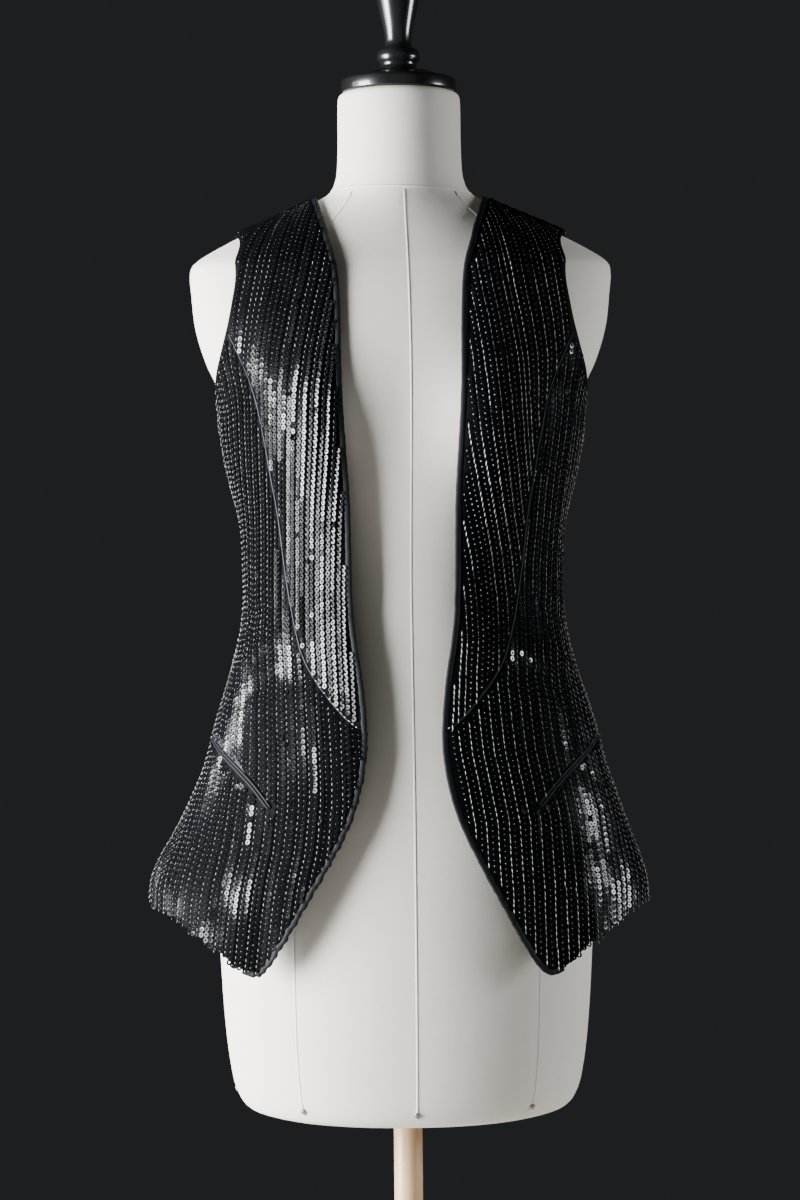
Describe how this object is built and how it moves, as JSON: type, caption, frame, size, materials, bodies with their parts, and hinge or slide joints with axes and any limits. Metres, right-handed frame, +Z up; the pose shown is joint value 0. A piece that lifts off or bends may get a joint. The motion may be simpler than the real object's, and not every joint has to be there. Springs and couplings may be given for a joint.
{
  "type": "sequin waistcoat on a dress form",
  "caption": "Fitted black sequin waistcoat, open at the front with a flared pointed skirt and satin-bound edges, on a cream limbless dress form with a turned neck cap and a wooden stand.",
  "frame": {"origin": "middle of the base's underside, on the floor", "axes": "+Z up along the stand's pole, -Y towards the open front of the waistcoat, +X towards its wearer's left"},
  "size_m": [0.4443, 0.41, 1.5404],
  "materials": {
    "sequin_cloth": "rows of small cupped black sequins on net",
    "satin_binding": "dark satin",
    "form_linen": "plain cream cotton cover, matt",
    "cap_lacquer": "black gloss lacquer on turned wood",
    "stand_wood": "clear satin varnish on beech",
    "tack_metal": "small domed tacks, dulled"
  },
  "bodies": {
    "root": {"front_left": "sequin_cloth", "side_front_left": "sequin_cloth", "back_left": "sequin_cloth", "front_binding_left": "satin_binding", "pocket_jets_left": "satin_binding", "front_right": "sequin_cloth", "side_front_right": "sequin_cloth", "back_right": "sequin_cloth", "front_binding_right": "satin_binding", "pocket_jets_right": "satin_binding", "form_body": "form_linen", "neck_cap": "cap_lacquer", "stand_base": "stand_wood", "stand_pole": "stand_wood", "tack_front": "tack_metal", "tack_front_left": "tack_metal", "tack_side_left": "tack_metal", "tack_back_left": "tack_metal", "tack_back": "tack_metal", "tack_back_right": "tack_metal", "tack_side_right": "tack_metal", "tack_front_right": "tack_metal"}
  },
  "joints": []
}
